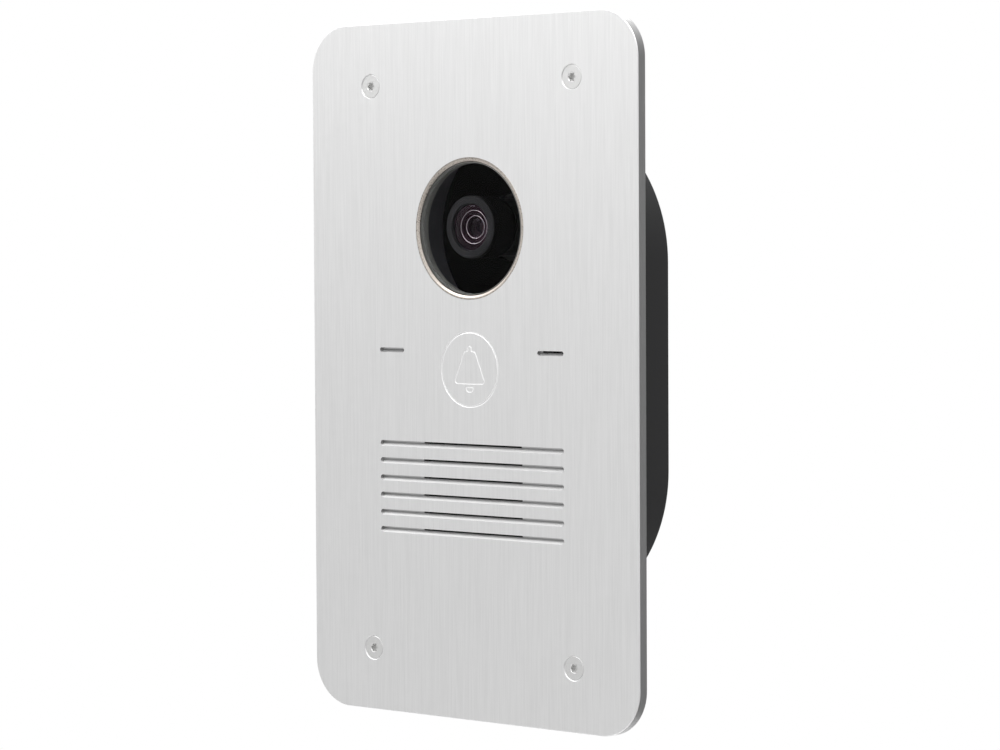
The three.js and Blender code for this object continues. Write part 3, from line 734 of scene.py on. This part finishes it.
def rear_housing():
    low, high = corners("rear_housing")
    centre = (low.z + high.z) / 2
    flange = (high.x - low.x) / 2
    straight = (high.z - low.z) / 2 - flange
    radius = HOUSING_RADIUS
    wall = 2.0
    fillet = 0.8
    stud_hole, reset_hole = 1.75, 2.2
    brim_back = low.y + 2
    sections = [(brim_back, upright_stadium(radius, straight, centre))]
    for k in range(7):
        angle = math.radians(90 * k / 6)
        inset = fillet * (1 - math.cos(angle))
        sections.append((high.y - fillet + fillet * math.sin(angle),
                         upright_stadium(radius - inset, straight, centre)))
    body = loft([(low.y, upright_stadium(radius, straight, centre))] + sections)
    brim = loft([(low.y, upright_stadium(flange - 0.2, straight, centre)),
                 (low.y + 0.2, upright_stadium(flange, straight, centre)),
                 (brim_back - 0.2, upright_stadium(flange, straight, centre)),
                 (brim_back, upright_stadium(flange - 0.2, straight, centre))])
    floor = high.y - wall
    cuts = [(prism(upright_stadium(radius - wall, straight, centre), low.y - PAST, floor), "black")]
    for i in range(4):
        x, z = middle(f"plate_stud_{i + 1}")
        cuts.append((disc(stud_hole, low.y - PAST, brim_back + PAST, x, z), "black"))
    for node in ("network_jack", "terminal_plug"):
        node_low, node_high = corners(node)
        x, z = middle(node)
        cuts.append((block(node_high.x - node_low.x + 1, node_high.z - node_low.z + 1, floor - PAST,
                           high.y + PAST, x, z, 0.6), "black"))
    x, z = middle("reset_button")
    cuts.append((disc(reset_hole, floor - PAST, high.y + PAST, x, z), "black"))
    new_piece("housing", body, "black", ["rear_housing"],
              joins=[(brim, "black")], cuts=cuts)


# ---------- Fasteners and connections behind the plate ----------


def studs_and_nuts():
    for i in range(4):
        node = f"plate_stud_{i + 1}"
        x, z = middle(node)
        low, high = corners(node)
        radius = (high.x - low.x) / 2
        stud = lathe([(0, low.y)] + threaded(radius, low.y, high.y - 0.4)
                     + [(radius - 0.35, high.y), (0, high.y)], x, z, 48)
        new_piece(f"stud_{i + 1}", stud, "steel", [node])
        node = f"flange_nut_{i + 1}"
        low, high = corners(node)
        across = (high.z - low.z) / 2
        hexagon = arc(x, z, across, 90, 390, 5)
        blank = to_object(prism(hexagon, low.y, high.y), f"nut_{i + 1}", "steel")
        flat = across * math.cos(math.radians(30))
        bevel = lathe([(0, low.y - 0.1), (across, low.y - 0.1), (across, high.y - 0.3),
                       (flat, high.y), (0, high.y)], x, z, 96)
        combine(blank, [(bevel, "steel")], "INTERSECT")
        combine(blank, [(lathe([(0, low.y - PAST), (2.05, low.y - PAST), (1.65, low.y + 0.35),
                                (1.65, high.y - 0.35), (2.05, high.y + 0.05), (2.05, high.y + PAST),
                                (0, high.y + PAST)], x, z, 48), "steel")])
        finish_piece(blank, "root", [node])


def network_jack():
    low, high = corners("network_jack")
    x, z = middle("network_jack")
    mouth_z = z + 0.6
    mouth = (11.9, 7.0)
    depth = 10.6
    contact = (0.45, 0.5, 0.1, 2)
    jack = to_object(block(high.x - low.x, high.z - low.z, low.y, high.y, x, z, 0.4), "jack",
                     "black")
    combine(jack, [
        (block(*mouth, high.y - depth, high.y + PAST, x, mouth_z, 0.3), "black"),
        (block(6, 2.6, high.y - depth + 2, high.y + PAST, x, z - 4, 0.3), "black"),
        (block(12.9, 8.0, high.y - 0.5, high.y + PAST, x, mouth_z, 0.5), "black"),
    ])
    contacts = []
    top = mouth_z + mouth[1] / 2
    for k in range(8):
        wire_x = x + (k - 3.5) * 1.02
        wire = loft([(high.y - 9.5, rounded_rectangle(*contact, wire_x, top - 2.6)),
                     (high.y - 3.0, rounded_rectangle(*contact, wire_x, top))])
        contacts.append((wire, "gold"))
    combine(jack, contacts, "UNION")
    finish_piece(jack, "root", ["network_jack"])


def terminal_plug():
    low, high = corners("terminal_plug")
    x, z = middle("terminal_plug")
    width = high.x - low.x
    height = high.z - low.z
    shoulder = corners("terminal_header")[1].y + 0.3
    plug = to_object(block(width, height, shoulder, high.y, x, z, 0.4), "plug", "green")
    tongue = block(width - 2.8, height - 2.8, low.y, shoulder + 0.5, x, z, 0.3)
    combine(plug, [(tongue, "green")], "UNION")
    pitch = 3.5
    screw_z = z - 2.1
    ways = [x + (k - 1.5) * pitch for k in range(4)]
    cuts = []
    for way in ways:
        cuts.append((block(2.4, 2.6, high.y - 3.5, high.y + PAST, way, z + 1.4, 0.3), "green"))
        cuts.append((disc(1.2, high.y - 2.5, high.y + PAST, way, screw_z), "green"))
    cuts += [(block(0.4, height + 1, high.y - 1.2, high.y + PAST, x + side * pitch, z, 0.1), "green")
             for side in (-1, 0, 1)]
    combine(plug, cuts)
    fittings = []
    for way in ways:
        head = lathe([(0, high.y - 2.8), (1.21, high.y - 2.8), (1.21, high.y - 1.4),
                      (1.0, high.y - 1.25), (0, high.y - 1.25)], way, screw_z, 48)
        fittings.append((head, "steel"))
        fittings.append((block(2.5, 0.7, high.y - 3.8, high.y - 2.2, way, z + 0.3, 0.1), "brass"))
    combine(plug, fittings, "UNION")
    combine(plug, [(block(0.4, 2.2, high.y - 1.7, high.y - 1, way, screw_z, 0.1), "steel")
                   for way in ways])
    finish_piece(plug, "terminal_plug", ["terminal_plug"])


def reset_button():
    low, high = corners("reset_button")
    x, z = middle("reset_button")
    radius = (high.x - low.x) / 2
    plunger = lathe([(0, low.y), (radius - 0.15, low.y), (radius, low.y + 0.15),
                     (radius, high.y - 0.35), (radius - 0.1, high.y - 0.12),
                     (radius - 0.35, high.y), (0.9, high.y), (0.6, high.y - 0.15),
                     (0, high.y - 0.2)], x, z, 64)
    new_piece("reset", plunger, "grey", ["reset_button"], body="reset_button")


# ---------- CAD pieces that keep their shape ----------

FINISHES = {
    "shroud_gasket": "foam", "speaker_gasket": "foam", "speaker_pad": "foam",
    "lens_holder": "black", "button_guide": "black", "call_switch": "black",
    "speaker_frame": "black", "reset_switch": "black", "relay": "black",
    "image_sensor": "chip", "power_transformer": "chip", "processor": "chip",
    "camera_board": "circuit", "main_board": "circuit", "camera_flex": "flex",
    "button_seal": "rubber", "speaker_lead": "rubber", "microphone_boot": "rubber",
    "microphone_lead": "rubber", "housing_gasket": "rubber",
    "speaker_magnet": "steel", "microphone_capsule": "steel",
    "camera_board_screw": "steel", "board_screw": "steel",
    "switch_plunger": "grey", "acoustic_mesh": "cloth", "speaker_cone": "cone",
    "terminal_header": "green", "capacitor": "sleeve",
}


def dress_cad_nodes():
    for name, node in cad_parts.items():
        kind = name.rstrip("0123456789").rstrip("_")
        if kind not in FINISHES:
            continue
        node.data.materials.clear()
        node.data.materials.append(MATERIALS[FINISHES[kind]])


# ---------- Stage, light and camera ----------


def stage():
    floor = bpy.data.objects.new("floor", bpy.data.meshes.new("floor"))
    bm = bmesh.new()
    bmesh.ops.create_circle(bm, cap_ends=True, radius=0.7, segments=96)
    bm.to_mesh(floor.data)
    bm.free()
    floor.location.z = -0.9
    floor.data.materials.append(fine_grained("pale_floor", grey(0.88), grey(0.92), 0.8, scale=40))
    bpy.context.scene.collection.objects.link(floor)


STUDIO_DARK = 0.10
STUDIO_LOBES = [
    ((0, -0.3, 1), 0.0, 0.75, 0.72),
    ((0.95, -0.5, -0.1), 0.3, 0.95, 0.75),
    ((-0.8, -0.55, 0.1), 0.25, 0.95, 0.92),
    ((-0.35, -0.85, -0.4), 0.7, 1.0, 0.25),
    ((-0.75, 0.65, 0.2), 0.1, 1.0, 0.9),
    ((-0.65, -0.76, -0.03), 0.95, 0.985, -0.85),
]


def studio_world():
    """White where the camera sees it, and everywhere else a soft studio made of a few wide
    lobes of light: (towards, start, end, strength), dark below and behind."""
    world = bpy.data.worlds.new("studio")
    bpy.context.scene.world = world
    world.use_nodes = True
    nodes = world.node_tree.nodes
    links = world.node_tree.links
    nodes.clear()
    place = nodes.new("ShaderNodeTexCoord")
    light = None
    for towards, start, end, strength in STUDIO_LOBES:
        facing = nodes.new("ShaderNodeVectorMath")
        facing.operation = "DOT_PRODUCT"
        facing.inputs[1].default_value = Vector(towards).normalized()
        links.new(place.outputs["Generated"], facing.inputs[0])
        lobe = nodes.new("ShaderNodeMapRange")
        lobe.interpolation_type = "SMOOTHSTEP"
        lobe.inputs["From Min"].default_value = start
        lobe.inputs["From Max"].default_value = end
        lobe.inputs["To Max"].default_value = strength
        links.new(facing.outputs["Value"], lobe.inputs["Value"])
        total = nodes.new("ShaderNodeMath")
        total.inputs[1].default_value = STUDIO_DARK
        links.new(lobe.outputs["Result"], total.inputs[0])
        if light:
            links.new(light, total.inputs[1])
        light = total.outputs[0]
    soft = nodes.new("ShaderNodeBackground")
    links.new(light, soft.inputs["Strength"])
    white = nodes.new("ShaderNodeBackground")
    white.inputs["Color"].default_value = (1, 1, 1, 1)
    seen = nodes.new("ShaderNodeLightPath")
    mix = nodes.new("ShaderNodeMixShader")
    links.new(seen.outputs["Is Camera Ray"], mix.inputs[0])
    links.new(soft.outputs[0], mix.inputs[1])
    links.new(white.outputs[0], mix.inputs[2])
    output = nodes.new("ShaderNodeOutputWorld")
    links.new(mix.outputs[0], output.inputs["Surface"])


def area_light(name, place, size, power):
    data = bpy.data.lights.new(name, "AREA")
    data.shape = "DISK"
    data.size = size
    data.energy = power
    lamp = bpy.data.objects.new(name, data)
    lamp.location = place
    lamp.rotation_mode = "QUATERNION"
    lamp.rotation_quaternion = Vector(place).to_track_quat("Z", "Y")
    bpy.context.scene.collection.objects.link(lamp)


# Each softbox: its name, its place, its size across and its power.
SOFTBOXES = [
    ("left_softbox", (-0.9, -1.0, 1.05), 1.3, 10),
    ("top_softbox", (0.5, -0.5, 1.1), 0.9, 6),
    ("back_fill", (-0.7, 1.0, 0.6), 0.8, 8),
]

CAMERA_PLACE = Vector((0.53901, -0.62196, 0.03209))
CAMERA_AZIMUTH = 40.508
CAMERA_PITCH = -2.317
CAMERA_ROLL = 0.280
CAMERA_LENS = 115.45


def camera():
    data = bpy.data.cameras.new("camera")
    data.lens = CAMERA_LENS
    data.sensor_width = 36
    data.clip_start = 0.05
    made = bpy.data.objects.new("camera", data)
    made.rotation_mode = "QUATERNION"
    turn = Matrix.Rotation(math.radians(CAMERA_AZIMUTH), 4, "Z")
    tilt = Matrix.Rotation(math.radians(90 + CAMERA_PITCH), 4, "X")
    roll = Matrix.Rotation(math.radians(-CAMERA_ROLL), 4, "Z")
    made.rotation_quaternion = (turn @ tilt @ roll).to_quaternion()
    made.location = CAMERA_PLACE
    bpy.context.scene.collection.objects.link(made)
    bpy.context.scene.camera = made


camera()
stage()
studio_world()
for softbox in SOFTBOXES:
    area_light(*softbox)
bpy.context.scene.view_settings.view_transform = "Standard"

front_plate()
plate_screws()
call_button()
window_pieces()
well()
lens_pieces()
rear_housing()
studs_and_nuts()
network_jack()
terminal_plug()
reset_button()
dress_cad_nodes()
